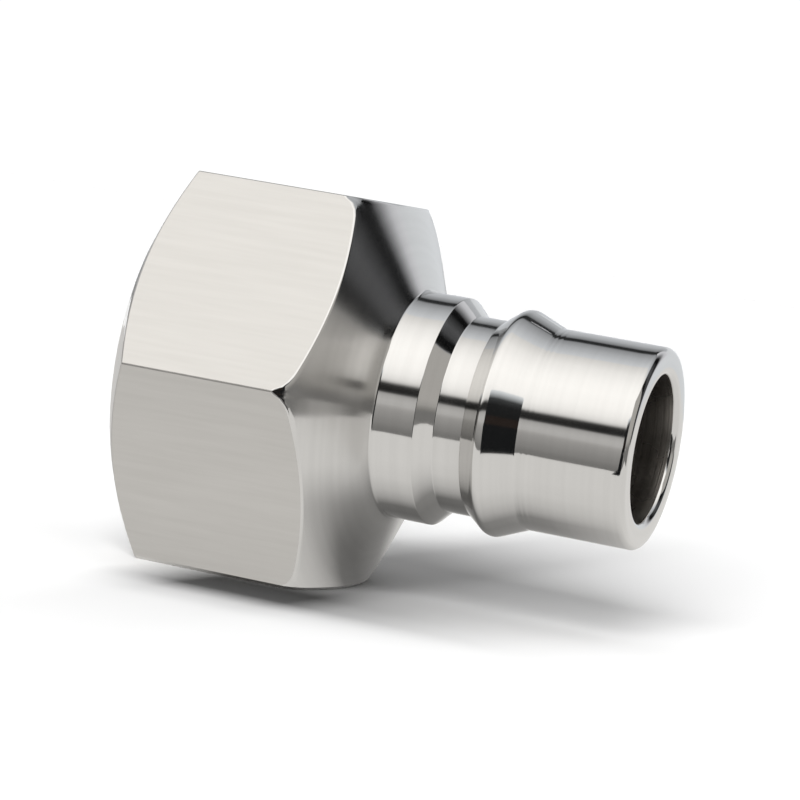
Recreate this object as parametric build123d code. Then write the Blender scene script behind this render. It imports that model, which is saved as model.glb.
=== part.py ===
from build123d import *
import math
import os

# Plug half (nipple) of a quick coupling, turned in one piece from hexagon bar.
# The axis is X and the nose points to +X, with the origin at the centre of its end face.
# Z is up when the plug lies on one flat of its hexagon. All sizes are in millimetres,
# and lengths are taken from the port face, as on a lathe, until the plug is moved at the end.

# Hexagon
across_flats = 27.0
corner_break = 0.10          # taken off each long corner by the turned outside diameter
corner_round = 1.4           # rounding between that diameter and the front cone

# Rear end of the hexagon
rear_face_diameter = 24.5
rear_chamfer_angle = 30.0    # measured from the rear face

# Front of the hexagon: a shallow bevel on the corners, then a steep cone down to the collar
flat_length = 14.7           # rear face to the front end of a flat, along its middle
bevel_angle = 63.0           # bevel on the corners, measured from the axis
cone_foot = 17.35            # rear face to the foot of the cone
cone_foot_fillet = 0.25

# Stop collar, with a chamfer down into the recess for the locking balls
collar_diameter = 15.9
collar_length = 2.93
collar_chamfer_angle = 45.0
collar_edge_fillet = 0.12

# Recess for the locking balls
recess_diameter = 13.7
recess_length = 1.95
recess_fillet = 0.12

# Locking crown
crown_rear_angle = 38.0      # rear slope, measured from the axis
crown_front_angle = 22.4     # front slope, measured from the axis
crown_height = 1.014         # above the nose, where the two slopes would meet
crown_round = 0.75
crown_foot_fillet = 0.5

# Nose, which enters the seal of the socket
nose_diameter = 14.0
overall_length = 35.0
nose_edge_round = 0.5

# Flow bore through the nose
bore_diameter = 10.2
bore_mouth_chamfer = 0.4

# Female port: the hole as drilled for a G 1/2 parallel pipe thread
thread_major_diameter = 20.955
thread_pitch = 25.4 / 14
thread_height = 0.640327 * thread_pitch
port_diameter = thread_major_diameter - 2 * thread_height
port_depth = 13.2
drill_point_angle = 59.0     # half angle of the drill point
port_mouth_clearance = 0.25  # countersink outside the thread's major diameter, on the radius
port_mouth_angle = 45.0

# Sizes that follow from those above
corner_radius = across_flats / math.sqrt(3)
flat_radius = across_flats / 2
turned_radius = corner_radius - corner_break
rear_radius = rear_face_diameter / 2
collar_radius = collar_diameter / 2
recess_radius = recess_diameter / 2
nose_radius = nose_diameter / 2
bore_radius = bore_diameter / 2
port_radius = port_diameter / 2
port_mouth_radius = thread_major_diameter / 2 + port_mouth_clearance


def slope(angle):
    """Radial rise over axial run of a slope at this angle to the axis."""
    return math.tan(math.radians(angle))


def outside_profile():
    """Half section of the turned outside, filleted at its working edges."""
    chamfer_rise = slope(90 - rear_chamfer_angle)
    bevel_rise = slope(bevel_angle)
    collar_end = cone_foot + collar_length
    recess_start = collar_end + (collar_radius - recess_radius) / slope(collar_chamfer_angle)
    recess_end = recess_start + recess_length
    apex_radius = nose_radius + crown_height
    apex_x = recess_end + (apex_radius - recess_radius) / slope(crown_rear_angle)
    nose_start = apex_x + crown_height / slope(crown_front_angle)

    axis_start = (0, 0)
    rear_edge = (0, rear_radius)
    rear_corner = ((turned_radius - rear_radius) / chamfer_rise, turned_radius)
    front_corner = (flat_length - (turned_radius - flat_radius) / bevel_rise, turned_radius)
    bevel_end = (flat_length, flat_radius)
    foot = (cone_foot, collar_radius)
    collar_edge = (collar_end, collar_radius)
    recess_rear = (recess_start, recess_radius)
    recess_front = (recess_end, recess_radius)
    crown = (apex_x, apex_radius)
    nose_foot = (nose_start, nose_radius)
    nose_edge = (overall_length, nose_radius)
    axis_end = (overall_length, 0)

    outline = Polyline(
        axis_start, rear_edge, rear_corner, front_corner, bevel_end, foot, collar_edge,
        recess_rear, recess_front, crown, nose_foot, nose_edge, axis_end, close=True,
    )
    section = make_face(outline)
    for point, radius in (
        (front_corner, corner_round),
        (foot, cone_foot_fillet),
        (collar_edge, collar_edge_fillet),
        (recess_rear, recess_fillet),
        (crown, crown_round),
        (nose_foot, crown_foot_fillet),
        (nose_edge, nose_edge_round),
    ):
        corner = section.vertices().sort_by_distance((*point, 0))[0]
        section = fillet(corner, radius)
    return section


def flow_bore():
    """Through bore with a small chamfer at the nose."""
    mouth_radius = bore_radius + bore_mouth_chamfer
    section = make_face(Polyline(
        (0, 0), (0, bore_radius), (overall_length - bore_mouth_chamfer, bore_radius),
        (overall_length, mouth_radius), (overall_length, 0), close=True,
    ))
    return revolve(section, axis=Axis.X)


def female_port():
    """Hole drilled for the pipe thread, with its drill point and its countersunk mouth."""
    mouth_depth = (port_mouth_radius - port_radius) / slope(port_mouth_angle)
    point_depth = (port_radius - bore_radius) / slope(drill_point_angle)
    section = make_face(Polyline(
        (0, 0), (0, port_mouth_radius), (mouth_depth, port_radius), (port_depth, port_radius),
        (port_depth + point_depth, bore_radius), (port_depth + point_depth, 0), close=True,
    ))
    return revolve(section, axis=Axis.X)


def hexagon_bar():
    """Hexagon bar along X, with one pair of flats level."""
    section = Plane.YZ * RegularPolygon(flat_radius, 6, major_radius=False)
    return extrude(section, amount=overall_length)


def coupling_nipple():
    """The plug: the turned form cut from the bar, then bored from both ends."""
    turned = revolve(outside_profile(), axis=Axis.X)
    body = hexagon_bar() & turned
    return body - flow_bore() - female_port()


nipple = Pos(-overall_length, 0, 0) * coupling_nipple()
nipple.label = "coupling_nipple"

os.makedirs("parts", exist_ok=True)
export_step(nipple, "parts/coupling_nipple.step")
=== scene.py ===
import math

import bpy
import numpy as np
from mathutils import Matrix, Vector


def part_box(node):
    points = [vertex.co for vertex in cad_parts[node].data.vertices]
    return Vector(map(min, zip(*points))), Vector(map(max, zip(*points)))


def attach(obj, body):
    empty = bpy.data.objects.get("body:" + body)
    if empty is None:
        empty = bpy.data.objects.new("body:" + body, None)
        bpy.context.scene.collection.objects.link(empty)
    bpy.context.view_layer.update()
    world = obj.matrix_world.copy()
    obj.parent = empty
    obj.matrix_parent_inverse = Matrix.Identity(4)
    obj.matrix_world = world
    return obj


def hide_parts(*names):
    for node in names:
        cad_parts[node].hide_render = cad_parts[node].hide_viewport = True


# Plug half of a quick coupling, turned in one piece from hexagon bar.
# It lies on one flat, with its axis along X and the centre of the nose's end face at the origin.
# Sizes of the plug are in millimetres, measured forward from the port face. Places in the studio
# are in metres.

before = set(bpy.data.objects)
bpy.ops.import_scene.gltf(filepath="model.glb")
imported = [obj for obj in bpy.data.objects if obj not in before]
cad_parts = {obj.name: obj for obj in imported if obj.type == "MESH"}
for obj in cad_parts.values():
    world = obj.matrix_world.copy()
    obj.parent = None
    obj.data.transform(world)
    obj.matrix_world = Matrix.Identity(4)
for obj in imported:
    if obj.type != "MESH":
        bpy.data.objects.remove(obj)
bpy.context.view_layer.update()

MM = 0.001
node_low, node_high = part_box("coupling_nipple")

# Overall sizes, from the frame
overall_length = (node_high.x - node_low.x) / MM
across_flats = (node_high.z - node_low.z) / MM
turned_radius = (node_high.y - node_low.y) / MM / 2
flat_radius = across_flats / 2

# Degrees from one long corner of the hexagon to the next, and what is taken off each corner,
# which is a hair less than on the plain form
corner_turn = 60.0
corner_break = 0.03
corner_tip = flat_radius / math.cos(math.radians(corner_turn / 2)) - corner_break

# Rear end of the hexagon
rear_radius = 12.25
rear_chamfer_angle = 30.0

# Front of the hexagon and the cone behind the collar
flat_length = 14.7
bevel_angle = 63.0
corner_round = 1.4
cone_foot = 17.35
cone_foot_fillet = 0.28

# Stop collar, recess for the locking balls, locking crown and nose
collar_radius = 7.95
collar_length = 2.93
collar_chamfer = 45.0
recess_radius = 6.85
recess_length = 1.95
crown_rear_angle = 38.0
crown_front_angle = 22.4
crown_height = 1.014
crown_round = 0.75
crown_foot_fillet = 0.5
nose_radius = 7.0
nose_edge_round = 0.5
small_fillet = 0.12

# Hairline grooves in front of the crown: place after its foot, and depth
groove_places = ((0.12, 0.005), (0.42, 0.007), (0.78, 0.004))
groove_half_width = 0.05

# Flow bore
bore_radius = 5.1
bore_mouth_round = 0.4

# Female port with its parallel pipe thread. Two shares of half a pitch, from the middle of a
# ridge, give the ridge's flat and then its flank.
inch = 25.4
threads_per_inch = 14
thread_major_radius = 20.955 / 2
thread_pitch = inch / threads_per_inch
thread_height = 0.640327 * thread_pitch
ridge_share = 0.12
flank_share = 0.76
thread_runout = 1.6
port_radius = thread_major_radius - thread_height
port_depth = 13.2
port_mouth_clearance = 0.25
port_mouth_radius = thread_major_radius + port_mouth_clearance
drill_point_angle = 59.0

# Softening of the edges that the turning tool and the polishing wheel leave
rolled_edge = 0.12
rear_edge_roll = 0.12

# Mesh density round the axis, in degrees: the step between columns, and where more of them
# stand on both sides of a long corner
column_step = 1.5
corner_columns = (0.19, 0.30, 0.75)

# Mesh density along the section: steps of an arc, of the bevel and of the cone, the place on the
# cone where the hexagon's strips end, the least length of the bevel's strips, and the spacing of
# the threaded wall with the least distance from the port face
arc_steps = 6
bevel_steps = 12
cone_steps = 24
cone_join = 1.1
least_bevel = 0.08
thread_station = 0.12
least_station = 0.04


def slope(angle):
    """Radial rise over axial run of a slope at this angle to the axis."""
    return math.tan(math.radians(angle))


def bezier(start, middle, end, steps):
    """Points of a quadratic curve between two ends, pulled to the middle point."""
    points = []
    for i in range(steps + 1):
        t = i / steps
        points.append(tuple(
            (1 - t) ** 2 * a + 2 * t * (1 - t) * b + t * t * c for a, b, c in zip(start, middle, end)
        ))
    return points


def run_between(start, end, steps):
    """Inner points of a straight run, without its ends."""
    return [
        tuple(a + (b - a) * i / steps for a, b in zip(start, end)) for i in range(1, steps)
    ]


def arc_at(before, corner, after, radius):
    """Fillet of this radius at a corner of the half section."""
    back = Vector(before) - Vector(corner)
    ahead = Vector(after) - Vector(corner)
    back.normalize()
    ahead.normalize()
    half_angle = back.angle(ahead) / 2
    reach = radius / math.tan(half_angle)
    centre = Vector(corner) + (back + ahead).normalized() * (radius / math.sin(half_angle))
    first = Vector(corner) + back * reach - centre
    sweep = first.angle_signed(Vector(corner) + ahead * reach - centre)
    turns = [sweep * i / arc_steps for i in range(arc_steps + 1)]
    return [
        (centre.x + first.x * math.cos(a) + first.y * math.sin(a),
         centre.y - first.x * math.sin(a) + first.y * math.cos(a))
        for a in turns
    ]


class HalfSection:
    """The closed half section of one column of the mesh, with the finish of each strip."""

    def __init__(self):
        self.points = []
        self.finishes = []

    def add(self, points, finish):
        """Adds points. The strip that follows each one has this finish."""
        for point in points:
            self.points.append(point)
            self.finishes.append(finish)

    def line(self, end, steps, finish):
        """Straight run from the last point, up to but without its end."""
        self.add(run_between(self.points[-1], end, steps), finish)


def bar_radius(angle):
    """Radius of the hexagon bar at this angle, with its long corners broken."""
    off_flat = (angle - corner_turn / 2) % corner_turn
    off_flat = min(off_flat, corner_turn - off_flat)
    return min(flat_radius / math.cos(math.radians(off_flat)), corner_tip)


def front_form():
    """Dense outline from the hexagon's corner down the bevel and the cone, with its running length."""
    bevel_end = (flat_length, flat_radius)
    corner_x = flat_length - (turned_radius - flat_radius) / slope(bevel_angle)
    foot = (cone_foot, collar_radius)
    rounding = arc_at((0.0, turned_radius), (corner_x, turned_radius), bevel_end, corner_round)
    points = rounding + run_between(rounding[-1], bevel_end, bevel_steps) + [bevel_end]
    to_bevel_end = len(points) - 1
    points += run_between(bevel_end, foot, cone_steps)
    outline = np.array(points)
    steps = np.hypot(*np.diff(outline, axis=0).T)
    running = np.concatenate([[0.0], np.cumsum(steps)])
    return outline, running, running[to_bevel_end]


front_outline, front_running, bevel_end_at = front_form()
cone_join_at = bevel_end_at + cone_join


def front_point(at):
    """Point of the front form at this running length."""
    return (
        float(np.interp(at, front_running, front_outline[:, 0])),
        float(np.interp(at, front_running, front_outline[:, 1])),
    )


def add_hexagon(section, radius):
    """Rear face, rear chamfer, flat and front bevel at one angle, where the bar has this radius."""
    chamfer = slope(rear_chamfer_angle)
    rear_edge = (0.0, rear_radius)
    rear_cross = ((radius - rear_radius) * chamfer, radius)
    along = Vector((chamfer, 1.0)).normalized()
    chamfer_start = Vector(rear_edge) + along * rear_edge_roll
    chamfer_end = Vector(rear_cross) - along * rolled_edge
    section.add(bezier((0.0, rear_radius - rear_edge_roll), rear_edge, chamfer_start, 3), "turned")
    section.line(chamfer_end, 4, "turned")
    flat_start = (rear_cross[0] + rolled_edge, radius)
    section.add(bezier(chamfer_end, rear_cross, flat_start, 4), "flats")

    cross_at = float(np.interp(-radius, -front_outline[:, 1], front_running))
    cross_x = front_point(cross_at)[0]
    flat_end = (cross_x - rolled_edge, radius)
    section.line(flat_end, 8, "flats")
    roll = bezier(flat_end, (cross_x, radius), front_point(cross_at + rolled_edge), 5)
    section.add(roll, "turned")
    bevel_start = cross_at + rolled_edge
    bevel_stop = max(bevel_end_at, bevel_start + least_bevel)
    section.add([front_point(a) for a in np.linspace(bevel_start, bevel_stop, 6)[1:-1]], "cone")
    section.add([front_point(a) for a in np.linspace(bevel_stop, cone_join_at, 5)[:-1]], "cone")


def tool_grooves(start):
    """Hairline grooves that the tool left round the nose, just in front of the crown."""
    points = []
    for ahead, depth in groove_places:
        x = start + ahead
        points += [(x - groove_half_width, nose_radius), (x, nose_radius - depth),
                   (x + groove_half_width, nose_radius)]
    return points


def add_turned_front(section):
    """Cone, collar, recess, crown and nose, the same at every angle."""
    collar_end = cone_foot + collar_length
    recess_start = collar_end + (collar_radius - recess_radius) / slope(collar_chamfer)
    recess_end = recess_start + recess_length
    crown_radius = nose_radius + crown_height
    crown_x = recess_end + (crown_radius - recess_radius) / slope(crown_rear_angle)
    nose_start = crown_x + crown_height / slope(crown_front_angle)
    drill_end = port_depth + (port_radius - bore_radius) / slope(drill_point_angle)
    # Place of each corner, its fillet and the fillet's finish, then the steps and the finish of
    # the run that follows it
    corners = [
        (front_point(cone_join_at), 0.0, "cone", 8, "cone"),
        ((cone_foot, collar_radius), cone_foot_fillet, "turned", 4, "turned"),
        ((collar_end, collar_radius), small_fillet, "turned", 3, "turned"),
        ((recess_start, recess_radius), small_fillet, "turned", 4, "recess"),
        ((recess_end, recess_radius), small_fillet / 2, "turned", 3, "turned"),
        ((crown_x, crown_radius), crown_round, "turned", 4, "turned"),
        ((nose_start, nose_radius), crown_foot_fillet, "turned", 7, "turned"),
        ((overall_length, nose_radius), nose_edge_round, "turned", 3, "turned"),
        ((overall_length, bore_radius), bore_mouth_round, "turned", 14, "bored"),
        ((drill_end, bore_radius), small_fillet, "bored", 5, "bored"),
        ((port_depth, port_radius), 0.0, "bored", 1, "threaded"),
    ]
    section.add([corners[0][0]], "cone")
    for previous, this, following in zip(corners, corners[1:], corners[2:]):
        point, radius, arc_finish, _, run_finish = this
        arc = arc_at(previous[0], point, following[0], radius)
        section.line(arc[0], previous[3], previous[4])
        section.add(arc[:-1], arc_finish)
        section.add(arc[-1:], run_finish)
        if point[0] == nose_start:
            section.add(tool_grooves(arc[-1][0]), run_finish)
    section.line(corners[-1][0], corners[-2][3], "bored")


def thread_radius(x, angle):
    """Radius of the threaded wall at this depth and angle, between ridge and groove."""
    turn = x / thread_pitch - angle / 360.0
    wave = 1.0 - abs(2.0 * (turn % 1.0) - 1.0)
    groove = min(max((wave - ridge_share) / flank_share, 0.0), 1.0)
    fade = min(max((port_depth - x) / thread_runout, 0.0), 1.0)
    return port_radius + thread_height * groove * fade * fade * (3.0 - 2.0 * fade)


def add_port(section, angle):
    """Threaded wall of the port, then its countersink and the rear face."""
    mouth_depth = port_mouth_radius - port_radius
    for x in np.arange(port_depth, least_station, -thread_station):
        countersink = port_radius + mouth_depth - x
        section.add([(float(x), max(countersink, thread_radius(x, angle)))], "threaded")
    section.add([(0.0, port_mouth_radius)], "turned")
    section.line((0.0, rear_radius - rear_edge_roll), 5, "turned")


def column_angles():
    """Angles of the mesh's columns, closer together at the corners of the hexagon."""
    angles = set(np.arange(0.0, 360.0, column_step).round(4))
    for number in range(round(360.0 / corner_turn)):
        corner = number * corner_turn
        for off in corner_columns:
            angles.add(round((corner + off) % 360.0, 4))
            angles.add(round((corner - off) % 360.0, 4))
    return sorted(angles)


def build_plug(finishes):
    """The whole plug as one closed mesh, with a material for each finish."""
    angles = column_angles()
    columns = []
    for angle in angles:
        section = HalfSection()
        add_hexagon(section, bar_radius(angle))
        add_turned_front(section)
        add_port(section, angle)
        columns.append(section)
    stations = len(columns[0].points)
    vertices = []
    for angle, section in zip(angles, columns):
        a = math.radians(angle)
        for x, r in section.points:
            vertices.append(((x - overall_length) * MM, r * math.cos(a) * MM, r * math.sin(a) * MM))
    names = list(finishes)
    faces = []
    face_materials = []
    for c in range(len(angles)):
        following = (c + 1) % len(angles)
        for s in range(stations):
            up = (s + 1) % stations
            faces.append((
                c * stations + s, following * stations + s,
                following * stations + up, c * stations + up,
            ))
            face_materials.append(names.index(columns[c].finishes[s]))
    mesh = bpy.data.meshes.new("plug_body")
    mesh.from_pydata(vertices, [], faces)
    for finish in names:
        mesh.materials.append(finishes[finish])
    mesh.polygons.foreach_set("material_index", face_materials)
    mesh.polygons.foreach_set("use_smooth", [True] * len(faces))
    mesh.update()
    plug = bpy.data.objects.new("plug_body", mesh)
    bpy.context.scene.collection.objects.link(plug)
    plug.modifiers.new("even_shading", "WEIGHTED_NORMAL")
    return plug


def shader_node(tree, kind, **settings):
    """New node with these settings."""
    made = tree.nodes.new(kind)
    for name, value in settings.items():
        setattr(made, name, value)
    return made


def feed(tree, value, socket):
    """Joins a socket to an input, or sets the input to a number, vector or colour."""
    if isinstance(value, bpy.types.NodeSocket):
        tree.links.new(value, socket)
    else:
        socket.default_value = value


def calculate(tree, operation, *values):
    """Math node on sockets or numbers."""
    made = shader_node(tree, "ShaderNodeMath", operation=operation)
    for value, socket in zip(values, made.inputs):
        feed(tree, value, socket)
    return made.outputs[0]


def remap(tree, value, low, high, to_low, to_high):
    """Value moved from one range to another and kept inside it."""
    made = shader_node(tree, "ShaderNodeMapRange")
    for name, number in (("Value", value), ("From Min", low), ("From Max", high),
                         ("To Min", to_low), ("To Max", to_high)):
        feed(tree, number, made.inputs[name])
    return made.outputs["Result"]


def speckle(tree, vector, scale, detail=2.0, roughness=0.5):
    """Noise along this vector."""
    made = shader_node(tree, "ShaderNodeTexNoise")
    feed(tree, vector, made.inputs["Vector"])
    feed(tree, scale, made.inputs["Scale"])
    made.inputs["Detail"].default_value = detail
    made.inputs["Roughness"].default_value = roughness
    return made.outputs["Fac"]


def new_group(name, inputs, outputs):
    """Empty shader group with number inputs and outputs, and its two end nodes."""
    group = bpy.data.node_groups.new(name, "ShaderNodeTree")
    for label, value in inputs:
        socket = group.interface.new_socket(label, in_out="INPUT", socket_type="NodeSocketFloat")
        socket.default_value = value
    for label in outputs:
        group.interface.new_socket(label, in_out="OUTPUT", socket_type="NodeSocketFloat")
    start = group.nodes.new("NodeGroupInput")
    end = group.nodes.new("NodeGroupOutput")
    return group, start.outputs, end.inputs


def axis_coordinates(tree):
    """Place along the axis, distance from the axis, and the place itself, all in millimetres."""
    place = shader_node(tree, "ShaderNodeTexCoord").outputs["Object"]
    in_mm = shader_node(tree, "ShaderNodeVectorMath", operation="SCALE")
    feed(tree, place, in_mm.inputs[0])
    in_mm.inputs["Scale"].default_value = 1 / MM
    parts = shader_node(tree, "ShaderNodeSeparateXYZ")
    feed(tree, in_mm.outputs[0], parts.inputs[0])
    square = calculate(tree, "ADD", calculate(tree, "MULTIPLY", parts.outputs["Y"], parts.outputs["Y"]),
                       calculate(tree, "MULTIPLY", parts.outputs["Z"], parts.outputs["Z"]))
    return parts.outputs["X"], calculate(tree, "SQRT", square), in_mm.outputs[0]


def tool_marks_group():
    """Fine rings that the turning tool leaves, which follow the section at every angle."""
    group, given, result = new_group(
        "tool_marks", (("Lines per mm", 8.0), ("Unevenness", 0.5)), ("Height", "Rings"))
    along, out, _ = axis_coordinates(group)
    section_place = shader_node(group, "ShaderNodeCombineXYZ")
    feed(group, along, section_place.inputs["X"])
    feed(group, out, section_place.inputs["Y"])
    fine = speckle(group, section_place.outputs[0], given["Lines per mm"], 2.0, 0.6)
    coarse_scale = calculate(group, "MULTIPLY", given["Lines per mm"], 0.22)
    coarse = speckle(group, section_place.outputs[0], coarse_scale, 1.0)
    uneven = calculate(group, "MULTIPLY", coarse, given["Unevenness"])
    feed(group, calculate(group, "ADD", fine, uneven), result["Height"])
    feed(group, remap(group, coarse, 0.35, 0.65, 0.0, 1.0), result["Rings"])
    return group


def bar_grain_group():
    """Straight brushed grain along the bar, with a few longer scratches."""
    group, given, result = new_group(
        "bar_grain", (("Lines per mm", 9.0), ("Stretch", 0.02)), ("Height", "Streaks"))
    _, _, place = axis_coordinates(group)
    long_scale = shader_node(group, "ShaderNodeCombineXYZ")
    feed(group, given["Stretch"], long_scale.inputs["X"])
    long_scale.inputs["Y"].default_value = 1.0
    long_scale.inputs["Z"].default_value = 1.0
    drawn = shader_node(group, "ShaderNodeVectorMath", operation="MULTIPLY")
    feed(group, place, drawn.inputs[0])
    feed(group, long_scale.outputs[0], drawn.inputs[1])
    fine = speckle(group, drawn.outputs[0], given["Lines per mm"], 3.0, 0.6)
    broad_scale = calculate(group, "MULTIPLY", given["Lines per mm"], 0.16)
    broad = speckle(group, drawn.outputs[0], broad_scale, 2.0)
    feed(group, fine, result["Height"])
    feed(group, remap(group, broad, 0.32, 0.68, 0.0, 1.0), result["Streaks"])
    return group


def handling_haze_group():
    """Soft uneven haze that wiping leaves on polished steel."""
    group, given, result = new_group(
        "handling_haze", (("Patches per mm", 0.3), ("Contrast", 0.5)), ("Haze",))
    _, _, place = axis_coordinates(group)
    patches = speckle(group, place, given["Patches per mm"], 3.0, 0.55)
    centred = calculate(group, "SUBTRACT", patches, 0.5)
    spread = calculate(group, "MULTIPLY", centred, calculate(group, "MULTIPLY", given["Contrast"], 4.0))
    feed(group, remap(group, spread, -0.5, 0.5, 0.0, 1.0), result["Haze"])
    return group


marks = tool_marks_group()
grain = bar_grain_group()
haze = handling_haze_group()


def place_group(tree, group, **values):
    """Puts a shared group in a material with its own values."""
    made = shader_node(tree, "ShaderNodeGroup", node_tree=group)
    for name, value in values.items():
        made.inputs[name.replace("_", " ")].default_value = value
    return made.outputs


def marks_then_haze(tree, mask, wiped):
    """Shade mostly from the marks, with a little of the haze."""
    return calculate(tree, "ADD", calculate(tree, "MULTIPLY", mask, 0.7),
                     calculate(tree, "MULTIPLY", wiped, 0.3))


def steel(name, dark, light, rough_low, rough_high, surface, depth, anisotropy=0.0):
    """Bare steel between two tones and two roughnesses.

    Surface gives its fine marks, and depth their height in millimetres. With anisotropy, the
    rings round the axis draw each reflection out across them."""
    material = bpy.data.materials.new(name)
    material.use_nodes = True
    tree = material.node_tree
    shader = tree.nodes["Principled BSDF"]
    shader.inputs["Metallic"].default_value = 1.0
    if anisotropy:
        shader.inputs["Anisotropic"].default_value = anisotropy
        shader.inputs["Anisotropic Rotation"].default_value = 0.25
        round_axis = shader_node(tree, "ShaderNodeTangent", direction_type="RADIAL", axis="X")
        feed(tree, round_axis.outputs[0], shader.inputs["Tangent"])
    tones = shader_node(tree, "ShaderNodeMix", data_type="RGBA")
    mask, height = surface(tree)
    wiped = place_group(tree, haze, Patches_per_mm=0.28, Contrast=0.6)["Haze"]
    feed(tree, marks_then_haze(tree, mask, wiped), tones.inputs["Factor"])
    tones.inputs["A"].default_value = (*dark, 1.0)
    tones.inputs["B"].default_value = (*light, 1.0)
    feed(tree, tones.outputs["Result"], shader.inputs["Base Color"])
    feed(tree, remap(tree, wiped, 0.0, 1.0, rough_low, rough_high), shader.inputs["Roughness"])
    bump = shader_node(tree, "ShaderNodeBump")
    bump.inputs["Distance"].default_value = depth * MM
    feed(tree, height, bump.inputs["Height"])
    feed(tree, bump.outputs["Normal"], shader.inputs["Normal"])
    return material


def turning(lines, unevenness):
    """Surface of tool marks with this many lines to the millimetre."""
    def surface(tree):
        made = place_group(tree, marks, Lines_per_mm=lines, Unevenness=unevenness)
        return made["Rings"], made["Height"]
    return surface


def drawing(lines, stretch):
    """Surface of straight grain with this many lines to the millimetre."""
    def surface(tree):
        made = place_group(tree, grain, Lines_per_mm=lines, Stretch=stretch)
        return made["Streaks"], made["Height"]
    return surface


finishes = {
    "flats": steel("brushed_flats", (0.578, 0.566, 0.545), (0.618, 0.606, 0.585),
                   0.30, 0.34, drawing(15.0, 0.06), 0.0014),
    "turned": steel("polished_turning", (0.675, 0.668, 0.655), (0.705, 0.698, 0.685),
                    0.06, 0.09, turning(9.0, 0.6), 0.0004),
    "cone": steel("polished_cone", (0.66, 0.653, 0.64), (0.695, 0.688, 0.675),
                  0.155, 0.17, turning(7.0, 0.5), 0.0003, 0.95),
    "recess": steel("recess_turning", (0.65, 0.643, 0.63), (0.70, 0.693, 0.68),
                    0.07, 0.11, turning(5.0, 1.2), 0.0035),
    "bored": steel("bored_wall", (0.28, 0.262, 0.245), (0.58, 0.555, 0.52),
                   0.24, 0.32, turning(4.5, 1.0), 0.02),
    "threaded": steel("cut_thread", (0.46, 0.45, 0.43), (0.60, 0.59, 0.57),
                      0.20, 0.30, turning(8.0, 0.6), 0.002),
}

plug = build_plug(finishes)
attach(plug, "root")
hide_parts("coupling_nipple")

# Studio: the level of the floor, its half width in millimetres, and the light tent round the
# middle of the plug
floor_level = node_low.z
floor_half = 3000.0
plug_middle = Vector((-0.0187, 0.0, 0.0))
tent_radius = 0.5
tent_half_length = 0.9
panel_radius = 0.42

# Tones of the cards that the steel reflects
warm_cloth = (1.0, 0.985, 0.96)
cool_cloth = (0.93, 0.96, 1.0)
warm_table = (1.0, 0.98, 0.95)
cool_table = (0.85, 0.93, 1.0)
warm_wall = (1.0, 0.97, 0.92)
cool_wall = (0.95, 0.96, 1.0)


def empty_material(name):
    """Material without nodes, and its tree."""
    material = bpy.data.materials.new(name)
    material.use_nodes = True
    material.node_tree.nodes.clear()
    return material, material.node_tree


def lit_material(name, colour, strength):
    """Lit surface. Strength is a number, or a function that makes one across the surface."""
    material, tree = empty_material(name)
    glow = shader_node(tree, "ShaderNodeEmission")
    glow.inputs["Color"].default_value = (*colour, 1.0)
    feed(tree, strength(tree) if callable(strength) else strength, glow.inputs["Strength"])
    end = shader_node(tree, "ShaderNodeOutputMaterial")
    feed(tree, glow.outputs[0], end.inputs["Surface"])
    return material


def object_place(tree):
    """The three coordinates of a surface that is drawn where it stands, in metres."""
    parts = shader_node(tree, "ShaderNodeSeparateXYZ")
    feed(tree, shader_node(tree, "ShaderNodeTexCoord").outputs["Object"], parts.inputs[0])
    return parts.outputs


def through_stops(tree, value, stops):
    """Number that runs evenly from one stop to the next. Each stop is a value and its number."""
    first = stops[0][0]
    last = stops[-1][0]
    peak = max(number for _, number in stops)
    ramp = shader_node(tree, "ShaderNodeValToRGB")
    feed(tree, remap(tree, value, first, last, 0.0, 1.0), ramp.inputs[0])
    elements = ramp.color_ramp.elements
    elements[0].color = (stops[0][1] / peak,) * 3 + (1.0,)
    elements[1].color = (stops[-1][1] / peak,) * 3 + (1.0,)
    for at, number in stops[1:-1]:
        elements.new((at - first) / (last - first)).color = (number / peak,) * 3 + (1.0,)
    return calculate(tree, "MULTIPLY", ramp.outputs["Color"], peak)


def by_height_angle(stops):
    """Strength by the angle in degrees round the plug's axis, up from the front horizon."""
    def strength(tree):
        place = object_place(tree)
        front = calculate(tree, "MULTIPLY", place["Y"], -1.0)
        angle = calculate(tree, "ARCTAN2", place["Z"], front)
        return through_stops(tree, calculate(tree, "MULTIPLY", angle, 180 / math.pi), stops)
    return strength


def by_distance(direction, stops):
    """Strength by the distance in millimetres from the plug's axis or nose along one direction."""
    def strength(tree):
        distance = calculate(tree, "MULTIPLY", object_place(tree)[direction], 1 / MM)
        return through_stops(tree, distance, stops)
    return strength


def across_panel(stops):
    """Strength by the share of a panel's width, from its right edge."""
    def strength(tree):
        share = shader_node(tree, "ShaderNodeAttribute", attribute_name="across")
        return through_stops(tree, share.outputs["Fac"], stops)
    return strength


def painted_shade_patch(tree, across, along):
    """Soft-edged patch of painted shade on the floor, from stops behind the plug's axis and stops along
    it.
    """
    return calculate(tree, "MULTIPLY", by_distance("Y", across)(tree), by_distance("X", along)(tree))


def painted_shade_under_plug(open_strength, shaded_strength, across, along):
    """Strength of a board below the plug, with a soft painted shade where the plug would shadow it."""
    def strength(tree):
        shade = painted_shade_patch(tree, across, along)
        return remap(tree, shade, 0.0, 1.0, open_strength, shaded_strength)
    return strength


def studio_mesh(name, vertices, faces, material):
    """Surface of the studio, which isn't part of the plug."""
    mesh = bpy.data.meshes.new(name)
    mesh.from_pydata(vertices, [], faces)
    mesh.materials.append(material)
    surface = bpy.data.objects.new(name, mesh)
    bpy.context.scene.collection.objects.link(surface)
    return surface


def level_sheet(name, corners, lift, material):
    """Level surface this far above the floor, with its four corners in millimetres."""
    level = floor_level + lift * MM
    vertices = [(x * MM, y * MM, level) for x, y in corners]
    return studio_mesh(name, vertices, [(0, 1, 2, 3)], material)


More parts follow.
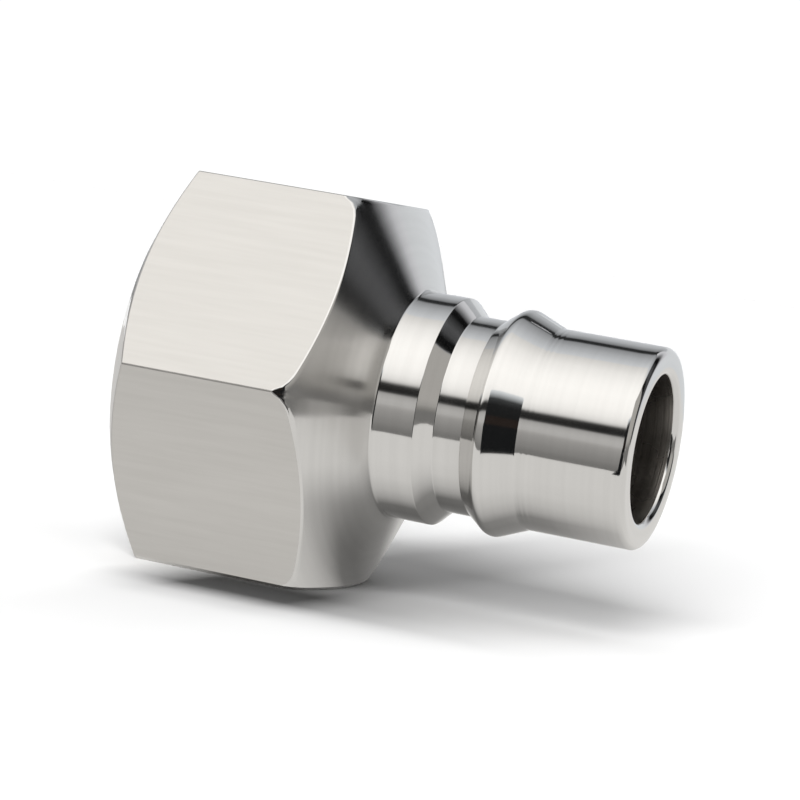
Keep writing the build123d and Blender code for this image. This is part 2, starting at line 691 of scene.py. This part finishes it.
def only_in_reflections(surface):
    """Leaves a card to the polished steel alone, so that it neither shows nor shades."""
    surface.visible_camera = False
    surface.visible_diffuse = False
    surface.visible_shadow = False
    surface.visible_transmission = False
    surface.visible_volume_scatter = False


def arch(name, low, high, colour, strength):
    """Curved card along the plug's axis, between two angles above the front horizon."""
    steps = round((high - low) / 3)
    left = plug_middle.x - tent_half_length
    right = plug_middle.x + tent_half_length
    vertices = []
    for i in range(steps + 1):
        a = math.radians(low + (high - low) * i / steps)
        y = -tent_radius * math.cos(a)
        z = tent_radius * math.sin(a)
        vertices += [(left, y, z), (right, y, z)]
    faces = [(2 * i, 2 * i + 1, 2 * i + 3, 2 * i + 2) for i in range(steps)]
    only_in_reflections(studio_mesh(name, vertices, faces, lit_material(name, colour, strength)))


def panel(name, right_low, left_low, left_high, right_high, colour, strength, away=panel_radius):
    """Panel of the light tent between four directions, each a bearing and a height in degrees.

    Bearings count from +X towards +Y."""
    steps = 8
    vertices = []
    for i in range(steps + 1):
        u = i / steps
        for j in range(steps + 1):
            v = j / steps
            bearing, height = (
                math.radians((1 - v) * ((1 - u) * a + u * b) + v * ((1 - u) * d + u * c))
                for a, b, c, d in zip(right_low, left_low, left_high, right_high)
            )
            flat = away * math.cos(height)
            vertices.append((plug_middle.x + flat * math.cos(bearing), flat * math.sin(bearing),
                             away * math.sin(height)))
    row = steps + 1
    faces = [(i * row + j, i * row + j + 1, (i + 1) * row + j + 1, (i + 1) * row + j)
             for i in range(steps) for j in range(steps)]
    made = studio_mesh(name, vertices, faces, lit_material(name, colour, strength))
    across = made.data.attributes.new("across", "FLOAT", "POINT")
    across.data.foreach_set("value", [i / steps for i in range(row) for _ in range(row)])
    only_in_reflections(made)


def board(name, corners, lift, colour, strength):
    """Lit level board, which only the steel sees."""
    only_in_reflections(level_sheet(name, corners, lift, lit_material(name, colour, strength)))


def soft_flag(name, corners, lift, across, along):
    """Graded net just above the floor, which holds the lights back there and shows nowhere itself."""
    material, tree = empty_material(name)
    net = shader_node(tree, "ShaderNodeMixShader")
    black = shader_node(tree, "ShaderNodeBsdfDiffuse")
    black.inputs["Color"].default_value = (0.0, 0.0, 0.0, 1.0)
    feed(tree, painted_shade_patch(tree, across, along), net.inputs[0])
    feed(tree, shader_node(tree, "ShaderNodeBsdfTransparent").outputs[0], net.inputs[1])
    feed(tree, black.outputs[0], net.inputs[2])
    end = shader_node(tree, "ShaderNodeOutputMaterial")
    feed(tree, net.outputs[0], end.inputs["Surface"])
    flag = level_sheet(name, corners, lift, material)
    flag.visible_camera = False
    flag.visible_glossy = False


def build_floor():
    """Plain pale floor."""
    material = bpy.data.materials.new("white_floor")
    material.use_nodes = True
    shader = material.node_tree.nodes["Principled BSDF"]
    shader.inputs["Base Color"].default_value = (0.90, 0.90, 0.90, 1.0)
    shader.inputs["Roughness"].default_value = 0.9
    shader.inputs["Specular IOR Level"].default_value = 0.1
    level_sheet("floor", ((-floor_half, -floor_half), (floor_half, -floor_half),
                          (floor_half, floor_half), (-floor_half, floor_half)), 0.0, material)


def build_world(camera_light, room_light):
    """White to the camera, and a dimmer even light for everything else."""
    world = bpy.data.worlds.new("studio")
    bpy.context.scene.world = world
    world.use_nodes = True
    tree = world.node_tree
    background = tree.nodes["Background"]
    background.inputs["Color"].default_value = (1.0, 1.0, 1.0, 1.0)
    seen = shader_node(tree, "ShaderNodeLightPath").outputs["Is Camera Ray"]
    feed(tree, remap(tree, seen, 0.0, 1.0, room_light, camera_light), background.inputs["Strength"])


def even_light(name, direction, spread, strength):
    """Distant light as wide as this angle, the same all over the floor, that shows in no reflection."""
    data = bpy.data.lights.new(name, "SUN")
    data.angle = math.radians(spread)
    data.energy = strength
    light = bpy.data.objects.new(name, data)
    light.rotation_mode = "QUATERNION"
    light.rotation_quaternion = Vector(direction).to_track_quat("-Z", "Y")
    light.visible_glossy = False
    bpy.context.scene.collection.objects.link(light)


def build_camera():
    """Camera of the photograph: where it stands, what it is aimed at, and how far it is rolled."""
    place = Vector((0.06044, -0.23292, 0.01303))
    aim = Vector((-0.01861, 0.0, 0.00014))
    roll = math.radians(-9.606)
    data = bpy.data.cameras.new("camera")
    data.sensor_width = 36.0
    data.lens = 159.61
    data.clip_start = 0.005
    camera = bpy.data.objects.new("camera", data)
    level = (aim - place).to_track_quat("-Z", "Y").to_matrix().to_4x4()
    camera.matrix_world = Matrix.Translation(place) @ level @ Matrix.Rotation(-roll, 4, "Z")
    bpy.context.scene.collection.objects.link(camera)
    bpy.context.scene.camera = camera


build_floor()
build_world(1.05, 0.25)
build_camera()
even_light("front_light", (-0.12, 0.88, -0.475), 30.0, 4.1)
even_light("overhead_light", (0.0, 0.1, -1.0), 60.0, 0.95)
# The contact flag lays a painted shadow on the floor under, in front of and behind the plug, drawn by
# the stops below.
soft_flag("contact_flag", ((-60, -70), (40, -70), (40, 130), (-60, 130)), 0.1, (
    (-60.0, 0.0), (-46.0, 0.07), (-33.0, 0.12), (-27.0, 0.15), (-21.0, 0.38), (-15.5, 0.93),
    (-9.0, 0.96), (0.0, 0.66), (10.0, 0.50), (25.0, 0.58), (42.0, 0.44), (60.0, 0.30),
    (90.0, 0.12), (115.0, 0.0),
), (
    (-32.0, 0.0), (-29.0, 0.5), (-26.2, 1.0), (-19.0, 1.0), (-16.0, 0.70), (-10.0, 0.44),
    (-3.0, 0.15), (3.0, 0.0),
))

# Light tent round the plug: its front wall with the softbox over it, and the backdrop behind it
arch("tent_front", -2.0, 100.0, warm_cloth, by_height_angle((
    (-2.0, 0.57), (3.0, 0.60), (7.0, 0.54), (9.0, 0.46), (10.8, 0.05), (13.0, 0.02), (17.5, 0.035),
    (19.0, 0.10), (21.8, 0.80), (24.0, 1.02), (30.0, 1.22), (39.0, 1.34), (55.0, 1.40),
    (66.0, 1.36), (73.0, 1.30), (85.0, 1.16), (100.0, 0.86),
)))
arch("tent_back", 100.0, 178.0, cool_cloth, by_height_angle((
    (100.0, 0.86), (109.0, 0.68), (120.0, 0.48), (126.5, 0.36), (129.5, 0.03), (135.5, 0.03),
    (138.5, 0.30), (150.0, 0.56), (165.0, 0.66), (178.0, 0.80),
)))

# Boards on the floor, as the polished steel sees them
# The bounce board carries a painted shade of the plug, darkest under it and just behind its axis.
board("bounce_board", ((-900, -500), (900, -500), (900, 500), (-900, 500)), 0.2,
      warm_cloth, painted_shade_under_plug(0.83, 0.12, (
          (-13.0, 0.0), (-8.0, 0.08), (-4.8, 0.30), (-2.6, 0.56), (-1.2, 0.80), (-0.2, 0.96),
          (3.0, 1.0), (14.0, 0.85), (30.0, 0.25),
      ), ((-16.0, 0.95), (-13.5, 0.90), (-8.0, 0.78), (-1.0, 0.30), (6.0, 0.0))))
# The front table dims towards the plug: a painted shade of the floor just in front of it.
board("front_table", ((-900, -500), (900, -500), (900, -27), (-900, -29)), 0.4,
      warm_table, by_distance("Y", (
          (-500.0, 0.54), (-250.0, 0.50), (-115.0, 0.42), (-64.0, 0.36), (-41.0, 0.30),
          (-28.0, 0.21),
      )))
board("table_by_camera", ((-5, -24.5), (60, -420), (420, -420), (10, -24.5)), 0.6, cool_table, 0.010)
board("right_table", ((42, -100), (500, -200), (500, 250), (69, 24)), 0.6, warm_table, 0.22)

# Walls of the tent beyond the nose, from the camera's side to the back
panel("wall_by_camera", (-77, -4), (-44, -4), (-44, 30), (-77, 30), (0.93, 0.97, 1.0),
      by_distance("Z", ((0.0, 0.012), (120.0, 0.018), (160.0, 0.06), (205.0, 0.95))))
panel("brown_door", (-70, -3), (-54, -3), (-54, 6), (-70, 6), (1.0, 0.72, 0.60), 0.024, 0.40)
panel("right_wall", (-44, -2), (25, -2), (24, 14), (-44, 14), warm_wall,
      by_distance("Z", ((-15.0, 0.22), (0.0, 0.31), (15.0, 0.44), (45.0, 0.51), (104.0, 0.50))))
panel("right_wall_top", (-44, 14), (24, 14), (-5, 46), (-44, 46), warm_wall, 0.50)
side_tones = across_panel((
    (0.0, 0.51), (0.02, 0.02), (0.05, 0.004), (0.16, 0.006), (0.25, 0.08), (0.37, 0.105),
    (0.49, 0.05), (0.57, 0.006), (0.66, 0.006), (0.74, 0.26), (0.86, 0.70), (1.0, 0.86),
))
panel("side_wall", (25, -2), (70, -2), (70, 20), (24, 14), cool_wall, side_tones)
panel("side_wall_top", (24, 14), (70, 20), (84, 50), (-5, 46), cool_wall, side_tones)
panel("light_panel", (69, -4), (100, -4), (98, 22), (69, 22), (0.94, 0.97, 1.0), 0.84)

view = bpy.context.scene.view_settings
view.view_transform = "Standard"
view.look = "None"
